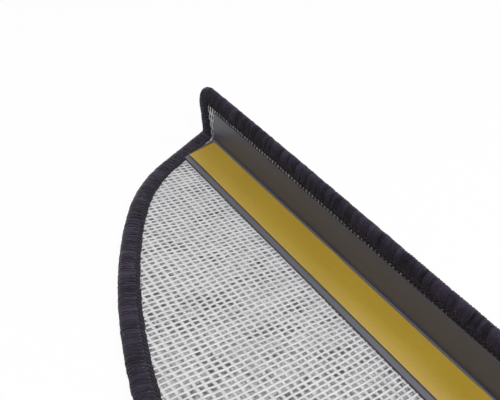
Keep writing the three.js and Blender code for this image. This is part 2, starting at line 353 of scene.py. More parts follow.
# %% Fold and finish a tree, run it, and keep its result as a plain mesh
def finish_tree(graph, entry, flat):
    """Ends a tree: its flat geometry is folded, made real and smooth, and gets its material."""
    sizes = {"Outer Radius": FOLD_OUTER, "Bend Length": FOLD_LENGTH, "Bend Start": FOLD_Y}
    bent = graph.add("GeometryNodeGroup", {"Geometry": flat} | sizes, node_tree=FOLD)
    real = graph.add("GeometryNodeRealizeInstances", {"Geometry": bent})
    smooth = graph.add("GeometryNodeSetShadeSmooth", {"Geometry": real})
    dressed = {"Geometry": smooth, "Material": entry["Material"]}
    graph.add("NodeGroupOutput", {0: graph.add("GeometryNodeSetMaterial", dressed)})
    return graph.tree


def grow(name, start, tree, values):
    """Runs a tree on a mesh. The inputs are set by identifier before the tree is first evaluated."""
    planted = show(name + "_start", start)
    modifier = planted.modifiers.new("grow", "NODES")
    modifier.node_group = tree
    for item in tree.interface.items_tree:
        if item.in_out == "INPUT" and item.name in values:
            modifier[item.identifier] = values[item.name]
    depsgraph = bpy.context.evaluated_depsgraph_get()
    mesh = bpy.data.meshes.new_from_object(planted.evaluated_get(depsgraph))
    bpy.data.objects.remove(planted)
    return show(name, mesh)


def keep(piece, node):
    """Lets a finished piece ride on the mat, hides the solid it stands for, and prints its triangles."""
    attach(piece, "root")
    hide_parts(node)
    triangles = sum(len(face.vertices) - 2 for face in piece.data.polygons)
    print(piece.name, "has", triangles, "triangles")


# %% [markdown]
# ## Colours and material helpers
#
# Colours are given as they look on a screen, from 0 to 255, and are turned into the linear values
# that the shader wants. Under plain white light a surface then renders about as its colour is written.

# %% Screen colours and a new material
def screen(red, green, blue):
    """A linear colour from its screen values."""
    linear = [((c / 255 + 0.055) / 1.055) ** 2.4 if c > 10 else c / 255 / 12.92 for c in (red, green, blue)]
    return (*linear, 1)


def new_material(name, constants):
    """A material whose shader has its constant sockets set, with its graph and shader."""
    material = bpy.data.materials.new(name)
    material.use_nodes = True
    shader = material.node_tree.nodes["Principled BSDF"]
    for socket, value in constants.items():
        shader.inputs[socket].default_value = value
    return material, Graph(material.node_tree), shader


def noise(graph, vector, scale, detail=2, roughness=0.5):
    """A noise from 0 to 1."""
    values = {"Vector": vector, "Scale": scale, "Detail": detail, "Roughness": roughness}
    return graph.add("ShaderNodeTexNoise", values, output="Fac")


def grain(graph, stretch=(1, 1, 1), scale=1, detail=2, roughness=0.5):
    """A noise in object coordinates, which are first multiplied by a factor for each axis."""
    place = graph.add("ShaderNodeTexCoord", output="Object")
    place = graph.add("ShaderNodeMapping", {"Vector": place, "Scale": stretch})
    return noise(graph, place, scale, detail, roughness)


def attribute(graph, name):
    """A value that the mesh carries."""
    return graph.add("ShaderNodeAttribute", output="Fac", attribute_name=name)


def blend(graph, share, first, second):
    """A colour between two others."""
    values = {"Factor_Float": share, "A_Color": first, "B_Color": second}
    return graph.add("ShaderNodeMix", values, "Result_Color", data_type="RGBA")


def ramp(graph, value, stops):
    """A colour, or a value as a grey, by a ramp of stops."""
    return graph.add("ShaderNodeValToRGB", {"Fac": value}, "Color", stops=stops)


def bump(graph, height, distance, strength=1):
    """Small relief, its height in metres."""
    values = {"Height": height, "Distance": distance, "Strength": strength}
    return graph.add("ShaderNodeBump", values, output="Normal")


# %% [markdown]
# ## The backing yarns
#
# The secondary backing is an open scrim: flat white yarns from rear to front, over and under spun
# yarns that run along the mat. Between them the grey latex shows. As a bump map the holes would
# have no depth, so each yarn is a real tube. A geometry tree takes one straight line for each
# yarn, cuts it into short steps, waves it over and under its neighbours, lets it wander a little
# and sweeps a flat section along it.

# %% White yarn
WEAR_START = 0.45
WEAR_STRENGTH = 1.6


def yarn_material(name, bright, dull, stretch):
    """Spun white yarn. Its fibres are fine streaks, long in the direction that it runs."""
    material, graph, shader = new_material(name, {"Sheen Weight": 0.15, "Specular IOR Level": 0.3})
    streaks = grain(graph, stretch, detail=3, roughness=0.6)
    patches = grain(graph, scale=90, detail=3)
    colour = blend(graph, streaks, dull, bright)
    worn = blend(graph, (patches - WEAR_START).math("MAXIMUM", 0) * WEAR_STRENGTH, colour, dull)
    graph.feed(shader, {"Base Color": worn, "Roughness": 0.7 + 0.2 * streaks})
    graph.feed(shader, {"Normal": bump(graph, streaks, 0.12 * MM, 0.6)})
    return material


FLAT_BRIGHT = screen(242, 242, 243)
FLAT_DULL = screen(188, 187, 189)
# The yarns along the mat lie lower, under the rear-to-front ones. Their two colours are a little duller
# than those of the rear-to-front yarns, as painted shade for lying there.
ALONG_BRIGHT_PAINTED_SHADE = screen(231, 230, 231)
ALONG_DULL_PAINTED_SHADE = screen(178, 177, 179)
FINE = 2600
LONG = 260
along_y_yarn = yarn_material("backing_yarn_rear_to_front", FLAT_BRIGHT, FLAT_DULL, (FINE, LONG, LONG))
along_x_yarn = yarn_material("backing_yarn_along", ALONG_BRIGHT_PAINTED_SHADE, ALONG_DULL_PAINTED_SHADE, (LONG, FINE, FINE))
print("yarn materials made")


# %% Straight lines for the yarns, on the flat cut
ALONG_Y_PITCH = 3.175 * MM
ALONG_X_PITCH = 5.1 * MM
YARN_INSET = 8 * MM
LAST_ROW_INSET = 15 * MM


def lines_mesh(name, lines):
    """A mesh of separate edges, each from one flat point to another."""
    points = [(x, v, 0) for line in lines for x, v in line]
    return new_mesh(name, points, [(i, i + 1) for i in range(0, len(points), 2)], [])


def yarns_along_y():
    """One line for each yarn from the rear to the lip's edge."""
    front = LIP_EDGE - YARN_INSET
    count = int(half_width(front, YARN_INSET) / ALONG_Y_PITCH)
    places = [i * ALONG_Y_PITCH for i in range(-count, count + 1)]
    lines = [((x, rear_v(x, YARN_INSET)), (x, front)) for x in places]
    return [line for line in lines if line[1][1] - line[0][1] > ALONG_X_PITCH]


def yarns_along_x():
    """One line for each yarn from side to side."""
    low = math.ceil((YARN_INSET - TREAD_REACH) / ALONG_X_PITCH)
    high = math.floor((LIP_EDGE - LAST_ROW_INSET) / ALONG_X_PITCH)
    rows = [i * ALONG_X_PITCH for i in range(low, high + 1)]
    return [((-half_width(v, YARN_INSET), v), (half_width(v, YARN_INSET), v)) for v in rows]


print(len(yarns_along_y()), "yarns from rear to front,", len(yarns_along_x()), "yarns along")


# %% The tree that turns lines into woven yarns
GRIP_START = 23 * MM
GRIP_LENGTH = 3 * MM
GRIP_LIFT = 0.35 * MM
WANDER_SCALE = 120
DRIFT_SCALE = 16
THICKNESS_SCALE = 300
THINNEST = 0.45
THICKNESS_SPREAD = 1.1
YARN_SIDES = 6


def make_yarn_tree():
    """Steps, over and under, wander, a lift where the stitches grip the lip, section and fold."""
    sizes = ["Step", "Width", "Thickness", "Height", "Wave", "Pitch X", "Pitch Y", "Wander", "Drift"]
    graph, entry = new_tree("woven yarn", sizes + ["Seed"], Material="Material")
    path = graph.add("GeometryNodeMeshToCurve", {"Mesh": entry})
    steps = {"Curve": path, "Length": entry["Step"]}
    path = graph.add("GeometryNodeResampleCurve", steps, mode="LENGTH")
    path = graph.add("GeometryNodeSetCurveNormal", {"Curve": path}, mode="Z_UP")
    position = graph.add("GeometryNodeInputPosition")
    place = graph.add("ShaderNodeSeparateXYZ", {0: position})
    over = (place / entry["Pitch X"] * math.pi).math("COSINE")
    under = (place["Y"] / entry["Pitch Y"] * math.pi).math("COSINE")
    grip = ((place["Y"] - GRIP_START) / GRIP_LENGTH).clamp()
    height = entry["Height"] + over * under * entry["Wave"] + grip * GRIP_LIFT
    values = {"Vector": position, "W": entry["Seed"], "Scale": WANDER_SCALE, "Detail": 2}
    quick = graph.add("ShaderNodeTexNoise", values, "Color", noise_dimensions="4D")
    quick = graph.add("ShaderNodeSeparateXYZ", {0: quick})
    slow_values = {"Vector": position, "Scale": DRIFT_SCALE, "Detail": 1}
    slow = graph.add("ShaderNodeTexNoise", slow_values, output="Color")
    slow = graph.add("ShaderNodeSeparateXYZ", {0: slow})
    wander, drift = entry["Wander"], entry["Drift"]
    sway_x = (quick - 0.5) * wander + (slow - 0.5) * drift
    sway_y = (quick["Y"] - 0.5) * wander + (slow["Y"] - 0.5) * drift
    offset = graph.vector(sway_x, sway_y, height)
    path = graph.add("GeometryNodeSetPosition", {"Geometry": path, "Offset": offset})
    ring = {"Resolution": YARN_SIDES, "Radius": 0.5}
    circle = graph.add("GeometryNodeCurvePrimitiveCircle", ring)
    flat = graph.vector(entry["Width"], entry["Thickness"], 1)
    section = graph.add("GeometryNodeTransform", {"Geometry": circle, "Scale": flat})
    values["Scale"] = THICKNESS_SCALE
    thick = graph.add("ShaderNodeTexNoise", values, "Fac", noise_dimensions="4D")
    thick = thick * THICKNESS_SPREAD + THINNEST
    sweep = {"Curve": path, "Profile Curve": section, "Scale": thick, "Fill Caps": True}
    return finish_tree(graph, entry, graph.add("GeometryNodeCurveToMesh", sweep))


YARN_TREE = make_yarn_tree()
print("yarn tree:", len(YARN_TREE.nodes), "nodes")

# %% Weave the backing
weave = {"Pitch X": ALONG_Y_PITCH, "Pitch Y": ALONG_X_PITCH, "Drift": 5 * MM}
front_lines = lines_mesh("rear_to_front", yarns_along_y())
front_yarns = grow("backing_yarns_rear_to_front", front_lines, YARN_TREE, weave | {
    "Step": ALONG_X_PITCH / 2, "Width": 1.38 * MM, "Thickness": 0.5 * MM, "Height": 5.95 * MM,
    "Wave": 0.16 * MM, "Wander": 1.1 * MM, "Seed": 3.0, "Material": along_y_yarn})
keep(front_yarns, "woven_backing")
side_lines = lines_mesh("along", yarns_along_x())
side_yarns = grow("backing_yarns_along", side_lines, YARN_TREE, weave | {
    "Step": ALONG_Y_PITCH / 2, "Width": 2.25 * MM, "Thickness": 0.45 * MM, "Height": 5.62 * MM,
    "Wave": -0.2 * MM, "Wander": 1.7 * MM, "Seed": 8.0, "Material": along_x_yarn})
keep(side_yarns, "woven_backing")

# %% [markdown]
# ## The latex behind the yarns
#
# The yarns are stuck to the carpet by a coat of filled latex. It is grey and blotchy, because the
# stitches of the pile show through it where it is thin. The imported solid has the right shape, so
# it only gets this finish.

# %% Latex finish
def latex_material():
    """Grey filled latex, with darker stitches under it."""
    material, graph, shader = new_material("latex", {"Specular IOR Level": 0.35})
    cloudy = grain(graph, scale=420, detail=4, roughness=0.7)
    stitches = grain(graph, (620, 420, 420), roughness=0.6)
    bands = grain(graph, (110, 42, 42), detail=3)
    grey = ramp(graph, cloudy, [(0.32, screen(92, 90, 92)), (0.7, screen(202, 201, 202))])
    thin = stitches + (bands - 0.5) * 0.9
    dark = ramp(graph, thin, [(0.3, (1, 1, 1, 1)), (0.52, (0, 0, 0, 1))])
    colour = blend(graph, graph.add("ShaderNodeRGBToBW", {0: dark}) * 0.85, grey, screen(56, 54, 58))
    graph.feed(shader, {"Base Color": colour, "Roughness": 0.45 + 0.4 * cloudy})
    graph.feed(shader, {"Normal": bump(graph, stitches, 0.5 * MM, 0.7)})
    return material


def dress(node, material):
    """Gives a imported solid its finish."""
    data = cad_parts[node].data
    data.materials.clear()
    data.materials.append(material)
    print(node, "is dressed in", material.name)


dress("latex_coat", latex_material())

# %% [markdown]
# ## The bound edge
#
# The edge is overlocked: bulky dark yarn goes over it again and again, from one side to the other.
# A tube with a striped bump would look smooth from the side, where the real edge is scalloped. So
# one wrap is modelled, as a flat yarn that follows half an ellipse, and a geometry tree sets
# about seven hundred of them along the outline, each a little wider, narrower or more tilted than
# the last.

# %% The section that the wraps follow
SHOULDER_REACH = 4.2 * MM
MIDDLE = (BINDING_TOP + BINDING_FOOT) / 2
HALF_HEIGHT = (BINDING_TOP - BINDING_FOOT) / 2
FOOT_DROP = 0.55 * MM
TOP_SHARE = 0.22


def section_point(share):
    """Inset and height of the binding's outer face, from its foot on top to its foot below."""
    if share < TOP_SHARE:
        t = share / TOP_SHARE
        inset = BINDING_WIDTH + (SHOULDER_REACH - BINDING_WIDTH) * t
        return inset, BINDING_TOP - FOOT_DROP * (1 - t) ** 2
    if share > 1 - TOP_SHARE:
        t = (share - 1 + TOP_SHARE) / TOP_SHARE
        inset = SHOULDER_REACH + (BINDING_WIDTH - SHOULDER_REACH) * t
        return inset, BINDING_FOOT + FOOT_DROP * t**2
    turn = math.pi * (share - TOP_SHARE) / (1 - 2 * TOP_SHARE)
    return SHOULDER_REACH * (1 - math.sin(turn)), MIDDLE + HALF_HEIGHT * math.cos(turn)


print("top foot", section_point(0), "outer side", section_point(0.5))

# %% One wrap of yarn
WRAP_PITCH = 2.1 * MM
WRAP_WIDTH = 2.8 * MM
WRAP_STEPS = 12
WRAP_ARCH = 0.75 * MM
WRAP_LEAN = 0.9 * MM
ARCH = [(-1, 1), (-0.5, 0.1), (0, 0.65), (0.5, 0), (1, 0.9)]
NEARBY = 0.02


def wrap_mesh():
    """A flat yarn bent around the section: arched outside, plain against the carpet."""
    points, across, along = [], [], []
    for i in range(WRAP_STEPS + 1):
        share = i / WRAP_STEPS
        inset, height = section_point(share)
        before, after = section_point(max(share - NEARBY, 0)), section_point(min(share + NEARBY, 1))
        out = Vector((0, after[1] - before[1], before[0] - after[0])).normalized()
        for side, drop in ARCH:
            place = Vector((0, inset, height)) - out * drop * WRAP_ARCH
            points.append((side * WRAP_WIDTH / 2 + WRAP_LEAN * (share - 0.5), place.y, place.z))
            across.append(side)
            along.append(share)
    columns = len(ARCH)
    faces = []
    for i in range(WRAP_STEPS):
        for j in range(columns):
            a, b = i * columns + j, i * columns + (j + 1) % columns
            faces.append((a, b, b + columns, a + columns))
    faces.append(tuple(range(columns - 1, -1, -1)))
    faces.append(tuple(range(WRAP_STEPS * columns, (WRAP_STEPS + 1) * columns)))
    mesh = new_mesh("wrap", points, [], faces)
    mesh.attributes.new("across", "FLOAT", "POINT").data.foreach_set("value", across)
    mesh.attributes.new("along", "FLOAT", "POINT").data.foreach_set("value", along)
    return mesh


wrap = bpy.data.objects.new("wrap", wrap_mesh())
print("one wrap has", len(wrap.data.polygons), "faces")


# %% The tree that sets a thing along the edge
EDGE_LUMPS = 160
PILE_LUMPS = 330
COPY_INPUTS = {"Thing": "Object", "Seed": "Int", "Material": "Material"}


def random_value(graph, entry, offset, low=-1.0, high=1.0):
    """A random number for each point. The offset gives each use a seed of its own."""
    values = {"Min_001": low, "Max_001": high, "Seed": entry["Seed"] + offset}
    return graph.add("FunctionNodeRandomValue", values, "Value_001", data_type="FLOAT")


def shade_copies(graph, copies, value):
    """Stores a random number on each copy, for its own shade of colour, and makes the copies real."""
    stored = {"Geometry": copies, "Name": "yarn", "Value": value}
    kind = {"data_type": "FLOAT", "domain": "INSTANCE"}
    copies = graph.add("GeometryNodeStoreNamedAttribute", stored, **kind)
    return graph.add("GeometryNodeRealizeInstances", {"Geometry": copies})


def push_about(graph, geometry, scale, reach):
    """Moves each point of a geometry by a noise, so that its copies are not all alike."""
    values = {"Vector": graph.add("GeometryNodeInputPosition"), "Scale": scale, "Detail": 3}
    lumps = graph.add("ShaderNodeTexNoise", values, output="Color")
    lumps = graph.add("ShaderNodeVectorMath", {0: lumps, 1: (0.5, 0.5, 0.5)}, operation="SUBTRACT")
    lumps = graph.add("ShaderNodeVectorMath", {0: lumps, "Scale": reach}, operation="SCALE")
    return graph.add("GeometryNodeSetPosition", {"Geometry": geometry, "Offset": lumps})


def make_edge_tree():
    """Points at a pitch along a closed path, and on each a copy that is turned, tilted and scaled."""
    sizes = ["Pitch", "Tilt", "Shift", "Spread", "Swell"]
    graph, entry = new_tree("set along the edge", sizes, **COPY_INPUTS)
    path = graph.add("GeometryNodeMeshToCurve", {"Mesh": entry})
    pitch = {"Curve": path, "Length": entry["Pitch"]}
    points = graph.add("GeometryNodeCurveToPoints", pitch, mode="LENGTH")
    heading = {"Vector": points["Tangent"]}
    turned = graph.add("FunctionNodeAlignEulerToVector", heading, axis="X", pivot_axis="Z")
    tilt = graph.vector(z=random_value(graph, entry, 1) * entry["Tilt"])
    tilted = {"Rotation": turned, "Rotate By": tilt}
    turned = graph.add("FunctionNodeRotateEuler", tilted, space="LOCAL")
    thing = graph.add("GeometryNodeObjectInfo", {"Object": entry["Thing"]}, output="Geometry")
    scale = graph.vector(1 + random_value(graph, entry, 2) * entry["Spread"], 1, 1)
    placed = {"Points": points, "Instance": thing, "Rotation": turned, "Scale": scale}
    copies = graph.add("GeometryNodeInstanceOnPoints", placed)
    shift = graph.vector(y=random_value(graph, entry, 4) * entry["Shift"])
    shifted = {"Instances": copies, "Translation": shift, "Local Space": True}
    copies = graph.add("GeometryNodeTranslateInstances", shifted)
    copies = shade_copies(graph, copies, random_value(graph, entry, 3) * 0.5 + 0.5)
    copies = push_about(graph, copies, EDGE_LUMPS, entry["Swell"])
    return finish_tree(graph, entry, copies)


EDGE_TREE = make_edge_tree()
print("edge tree:", len(EDGE_TREE.nodes), "nodes")


# %% Dark binding yarn
def binding_material(name, dark, light):
    """Bulky filament yarn: fine hairs along each wrap, and each wrap of its own shade."""
    constants = {"Sheen Weight": 0.25, "Sheen Roughness": 0.4, "Specular IOR Level": 0.12}
    material, graph, shader = new_material(name, constants)
    across = attribute(graph, "across")
    along = attribute(graph, "along")
    yarn = attribute(graph, "yarn")
    place = graph.vector(across * 4.5, along * 4, yarn * 60)
    hairs = noise(graph, place, 2.2, detail=3, roughness=0.65)
    dust = grain(graph, scale=70)
    shade = (hairs * 1.5 + yarn * 0.35 + dust * 0.6 - 0.97).clamp()
    graph.feed(shader, {"Base Color": blend(graph, shade, dark, light), "Roughness": 0.62 + 0.25 * hairs})
    graph.feed(shader, {"Normal": bump(graph, hairs, 0.25 * MM, 0.8)})
    return material


binding_yarn = binding_material("binding_yarn", screen(10, 6, 15), screen(81, 72, 94))
print("binding yarn made")


# %% Wrap the edge
STRAY_LENGTH = 75 * MM


def edge_mesh(name, inset, stray, phase):
    """The outline as a closed ring of edges that strays a little, as a seam guided by hand does."""
    ring = [Vector((x, v, 0)) for x, v in outline(inset)]
    count = len(ring)
    points = []
    for i, place in enumerate(ring):
        ahead = (ring[(i + 1) % count] - ring[i - 1]).normalized()
        inward = Vector((-ahead.y, ahead.x, 0))
        points.append(place + inward * stray * math.sin(place.x / STRAY_LENGTH + phase))
    return new_mesh(name, points, [(i, (i + 1) % count) for i in range(count)], [])


edge_ring = edge_mesh("edge", inset=-0.35 * MM, stray=0.6 * MM, phase=1.63)
binding = grow("edge_binding_wraps", edge_ring, EDGE_TREE, {
    "Pitch": WRAP_PITCH, "Thing": wrap, "Tilt": math.radians(4), "Shift": 0.15 * MM, "Spread": 0.18,
    "Swell": 0.8 * MM, "Seed": 11, "Material": binding_yarn})
keep(binding, "edge_binding")

# %% [markdown]
# ## The stitches along the binding's foot
#
# At the inner foot of the wraps the needle thread pulls them down in pairs and leaves a chain of
# loops. One stitch is modelled, as a slanted lashing and a long loop that overlaps the next one,
# and the same tree as for the wraps repeats it.

# %% One stitch
STITCH_PITCH = 2.9 * MM
THREAD = 0.8 * MM
LASHING_RADIUS = THREAD * 0.55
CHAIN_RADIUS = THREAD * 0.42
LASHING = [(-1.1, 8.9, 7.4), (-0.5, 9.6, 7.35), (0.3, 10.3, 7.1), (0.9, 11.1, 6.8)]
LOOP_INSET = 11.0 * MM
LOOP_HEIGHT = 6.85 * MM
LOOP_REACH = 0.6 * MM
LOOP_HALF = 1.7 * MM
LOOP_POINTS = 10
LOOP_SLOPE = 0.08
BED = [(7.6, 7.05), (11.6, 6.65)]
BED_THICKNESS = 0.25 * MM
BED_HALF = STITCH_PITCH * 0.55


def tube(points, radius, sides, closed):
    """Vertices and faces of a round thread through some points."""
    rings, faces, count = [], [], len(points)
    for i, point in enumerate(points):
        before = points[i - 1] if closed or i else point
        after = points[(i + 1) % count] if closed or i + 1 < count else point
        ahead = (after - before).normalized()
        side = ahead.cross(Vector((0, 0, 1))).normalized()
        up = side.cross(ahead)
        for j in range(sides):
            turn = 2 * math.pi * j / sides
            rings.append(point + radius * (side * math.cos(turn) + up * math.sin(turn)))
    for i in range(count if closed else count - 1):
        for j in range(sides):
            a, b = i * sides + j, i * sides + (j + 1) % sides
            c, d = (a + sides) % len(rings), (b + sides) % len(rings)
            faces.append((a, b, d, c))
    if not closed:
        faces.append(tuple(range(sides - 1, -1, -1)))
        faces.append(tuple(range(len(rings) - sides, len(rings))))
    return rings, faces


def joined_mesh(name, shapes):
    """One mesh from several lists of vertices and faces."""
    points, faces = [], []
    for more, more_faces in shapes:
        faces += [tuple(corner + len(points) for corner in face) for face in more_faces]
        points += more
    return new_mesh(name, points, [], faces)


def stitch_mesh():
    """A lashing over the wraps' foot and one loop of the chain."""
    lashing = [Vector(point) * MM for point in LASHING]
    loop = []
    for i in range(LOOP_POINTS):
        turn = 2 * math.pi * i / LOOP_POINTS
        x = LOOP_HALF * math.cos(turn)
        inset = LOOP_INSET + LOOP_REACH * math.sin(turn)
        loop.append(Vector((x, inset, LOOP_HEIGHT + LOOP_SLOPE * x)))
    lashing_tube = tube(lashing, radius=LASHING_RADIUS, sides=5, closed=False)
    loop_tube = tube(loop, radius=CHAIN_RADIUS, sides=4, closed=True)
    return joined_mesh("stitch", [lashing_tube, loop_tube, thread_bed()])


def thread_bed():
    """The flat band of yarn that the needle thread holds down, one stitch long."""
    points = []
    for x in (-BED_HALF, BED_HALF):
        for inset, height in BED:
            points.append(Vector((x, inset * MM, height * MM)))
            points.append(Vector((x, inset * MM, height * MM - BED_THICKNESS)))
    faces = [(0, 4, 6, 2), (1, 3, 7, 5), (0, 2, 3, 1), (4, 5, 7, 6), (2, 6, 7, 3), (0, 1, 5, 4)]
    return points, faces


stitch = bpy.data.objects.new("stitch", stitch_mesh())
print("one stitch has", len(stitch.data.polygons), "faces")


# %% Stitch the edge
def thread_material():
    """Twisted dark thread."""
    constants = {"Sheen Weight": 0.1, "Specular IOR Level": 0.15}
    material, graph, shader = new_material("stitching_yarn", constants)
    fibres = grain(graph, scale=1500)
    colour = blend(graph, fibres, screen(18, 14, 24), screen(54, 48, 62))
    graph.feed(shader, {"Base Color": colour, "Roughness": 0.55 + 0.3 * fibres})
    graph.feed(shader, {"Normal": bump(graph, fibres, 0.15 * MM, 0.6)})
    return material


seam_thread = thread_material()
seam_ring = edge_mesh("seam", inset=0.4 * MM, stray=0.7 * MM, phase=1.76)
stitching = grow("edge_stitching_chain", seam_ring, EDGE_TREE, {
    "Pitch": STITCH_PITCH, "Thing": stitch, "Tilt": math.radians(2), "Shift": 0.2 * MM, "Spread": 0.12,
    "Swell": 0.7 * MM, "Seed": 23, "Material": seam_thread})
keep(stitching, "edge_stitching")

# %% [markdown]
# ## Loose fibres along the seam
#
# Bulky yarn frays: short fibres escape from the chain and lie on the backing, so the dark edge
# ends in a soft fringe and not in a ruled line. Hair curves would not survive the export. So a pair
# of thin bent tubes is scattered along the seam by the same tree, each pair turned its own way.

# %% A pair of fibres
FIBRE_RADIUS = 0.09 * MM
FIBRES = [
    [(0, 0, 6.9), (0.2, 0.6, 7.05), (0.8, 1.1, 6.8)],
    [(0.8, 0, 6.95), (0.5, 0.5, 7.1), (-0.3, 0.8, 6.85)],
]


def fibres_mesh():
    """Two thin bent fibres that start in the chain."""
    paths = [[Vector(point) * MM for point in fibre] for fibre in FIBRES]
    return joined_mesh("fibres", [tube(path, FIBRE_RADIUS, sides=3, closed=False) for path in paths])


fibres = bpy.data.objects.new("fibres", fibres_mesh())
fringe_ring = edge_mesh("fringe", inset=11.7 * MM, stray=0.7 * MM, phase=1.76)
fringe = grow("edge_stitching_fringe", fringe_ring, EDGE_TREE, {
    "Pitch": 2.3 * MM, "Thing": fibres, "Tilt": math.radians(60), "Shift": 0.4 * MM, "Spread": 0.5,
    "Swell": 0.8 * MM, "Seed": 41, "Material": seam_thread})
keep(fringe, "edge_stitching")

# %% [markdown]
# ## The pile
#
# The face of the carpet is turned to the floor and away from the camera, so a low loop pile is a
# guess. A fur of hair strands would be far too heavy for a part that is reused, so each loop is
# one low dome of a few faces. They stand in offset rows, as a tufting machine sets them.

# %% Where the loops stand
LOOP_PITCH_X = 4.1 * MM
LOOP_PITCH_V = 3.7 * MM
PILE_INSET = 9.6 * MM
PILE_GROUND = 1.3 * MM
FACE_BEND = FOLD_OUTER * math.pi / 2


def pile_places():
    """Flat places of the loops, spaced on the pile's own face, which is longer around the fold."""
    places, squeezes = [], []
    rows = int((TREAD_REACH + FACE_BEND + LIP_RISE) / LOOP_PITCH_V)
    for row in range(rows):
        run = PILE_INSET - TREAD_REACH + row * LOOP_PITCH_V
        v, squeeze = run, 1
        if run >= FACE_BEND:
            v = run - FACE_BEND + FOLD_LENGTH
        elif run > 0:
            v, squeeze = run * FOLD_LENGTH / FACE_BEND, FOLD_LENGTH / FACE_BEND
        if v > LIP_EDGE - PILE_INSET:
            break
        reach = half_width(v, PILE_INSET)
        count = int(reach / LOOP_PITCH_X)
        shift = LOOP_PITCH_X / 2 if row % 2 else 0
        for i in range(-count, count + 1):
            if abs(i * LOOP_PITCH_X + shift) < reach:
                places.append((i * LOOP_PITCH_X + shift, v, 0))
                squeezes.append(squeeze)
    return places, squeezes


def pile_points():
    """The places as a mesh of points that know how far the fold will stretch them."""
    places, squeezes = pile_places()
    mesh = new_mesh("pile_points", places, [], [])
    mesh.attributes.new("squeeze", "FLOAT", "POINT").data.foreach_set("value", squeezes)
    return mesh


print("pile has", len(pile_places()[0]), "loops")

# %% One loop of pile
LOOP_RINGS = [(2.3, 1.6), (1.5, 0.7)]
LOOP_TIP = 0.25 * MM
LOOP_SIDES = 6
LOOP_NARROW = 0.8
LOOP_LONG = 1.15


def loop_mesh():
    """A low oval dome that hangs down from the pile's ground to its face."""
    points = []
    for radius, height in LOOP_RINGS:
        for i in range(LOOP_SIDES):
            turn = 2 * math.pi * i / LOOP_SIDES
            x = radius * LOOP_NARROW * math.cos(turn)
            points.append((x * MM, radius * LOOP_LONG * math.sin(turn) * MM, height * MM))
    points.append((0, 0, LOOP_TIP))
    tip = len(points) - 1
    faces = [tuple(range(LOOP_SIDES))]
    for i in range(LOOP_SIDES):
        a, b = i, (i + 1) % LOOP_SIDES
        faces.append((b, a, a + LOOP_SIDES, b + LOOP_SIDES))
        faces.append((b + LOOP_SIDES, a + LOOP_SIDES, tip))
    return new_mesh("loop", points, [], faces)


loop = bpy.data.objects.new("loop", loop_mesh())
print("one loop has", len(loop.data.polygons), "faces")


# %% The tree that sets the loops
def make_pile_tree():
    """A loop on each point, turned, scaled and dented at random, squeezed where the fold stretches it."""
    graph, entry = new_tree("loop pile", ["Unevenness", "Turn", "Dent"], **COPY_INPUTS)
    thing = graph.add("GeometryNodeObjectInfo", {"Object": entry["Thing"]}, output="Geometry")
    size = 1 + random_value(graph, entry, 1) * entry["Unevenness"]
    squeeze = graph.add("GeometryNodeInputNamedAttribute", {"Name": "squeeze"}, data_type="FLOAT")
    scale = graph.vector(size, size * squeeze, 1)
    turn = graph.vector(z=random_value(graph, entry, 3) * entry["Turn"])
    placed = {"Points": entry, "Instance": thing, "Rotation": turn, "Scale": scale}
    copies = graph.add("GeometryNodeInstanceOnPoints", placed)
    copies = shade_copies(graph, copies, random_value(graph, entry, 2, 0.0, 1.0))
    copies = push_about(graph, copies, PILE_LUMPS, entry["Dent"])
    return finish_tree(graph, entry, copies)


def pile_material():
    """Dark carpet yarn, each loop of its own shade."""
    material, graph, shader = new_material("pile", {"Sheen Weight": 0.08, "Specular IOR Level": 0.2})
    yarn = attribute(graph, "yarn")
    fibres = grain(graph, scale=1400, detail=3, roughness=0.7)
    shade = (fibres * 0.8 + yarn * 0.3 - 0.1).clamp()
    graph.feed(shader, {"Base Color": blend(graph, shade, screen(32, 29, 36), screen(92, 89, 98))})
    graph.feed(shader, {"Roughness": 0.8 + 0.15 * fibres, "Normal": bump(graph, fibres, 0.5 * MM, 0.8)})
    return material


pile_yarn = pile_material()
loops = grow("carpet_pile_loops", pile_points(), make_pile_tree(), {
    "Thing": loop, "Unevenness": 0.16, "Turn": math.radians(55), "Dent": 1.5 * MM, "Seed": 5,
    "Material": pile_yarn})
keep(loops, "carpet_pile")


# %% The ground that the loops stand on
def unfold(y, z):
    """v and n of a folded place."""
    if y < FOLD_Y and z < FOLD_OUTER:
        return y - FOLD_Y, z
    if z > FOLD_OUTER:
        return FOLD_LENGTH + z - FOLD_OUTER, FOLD_Y + FOLD_OUTER - y
    turn = math.atan2(y - FOLD_Y, FOLD_OUTER - z)
    return turn / (math.pi / 2) * FOLD_LENGTH, FOLD_OUTER - math.hypot(y - FOLD_Y, FOLD_OUTER - z)


def folded(x, v, n):
    """The folded place of a flat one, as the fold group works it out."""
    turn = min(max(v / FOLD_LENGTH, 0), 1) * math.pi / 2
    radius = FOLD_OUTER - n
    y = FOLD_Y + min(v, 0) + radius * math.sin(turn)
    return Vector((x, y, FOLD_OUTER + max(v - FOLD_LENGTH, 0) - radius * math.cos(turn)))


def pile_ground():
    """A copy of the pile's solid whose face is drawn back behind the loops."""
    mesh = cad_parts["carpet_pile"].data.copy()
    for vertex in mesh.vertices:
        v, n = unfold(vertex.co.y, vertex.co.z)
        vertex.co = folded(vertex.co.x, v, max(n, PILE_GROUND))
    mesh.materials.clear()
    mesh.materials.append(pile_yarn)
    return show("carpet_pile_ground", mesh)


keep(pile_ground(), "carpet_pile")

# %% [markdown]
# ## The angle
#
# A stiff plastic angle, extruded in one piece, is stuck into the fold and keeps the lip square.
# Its solid has the walls, the fillet and the slanted ends. The finish is satin grey: faint lines
# along the extrusion, a soft ripple that breaks up its reflections, and a little dust.

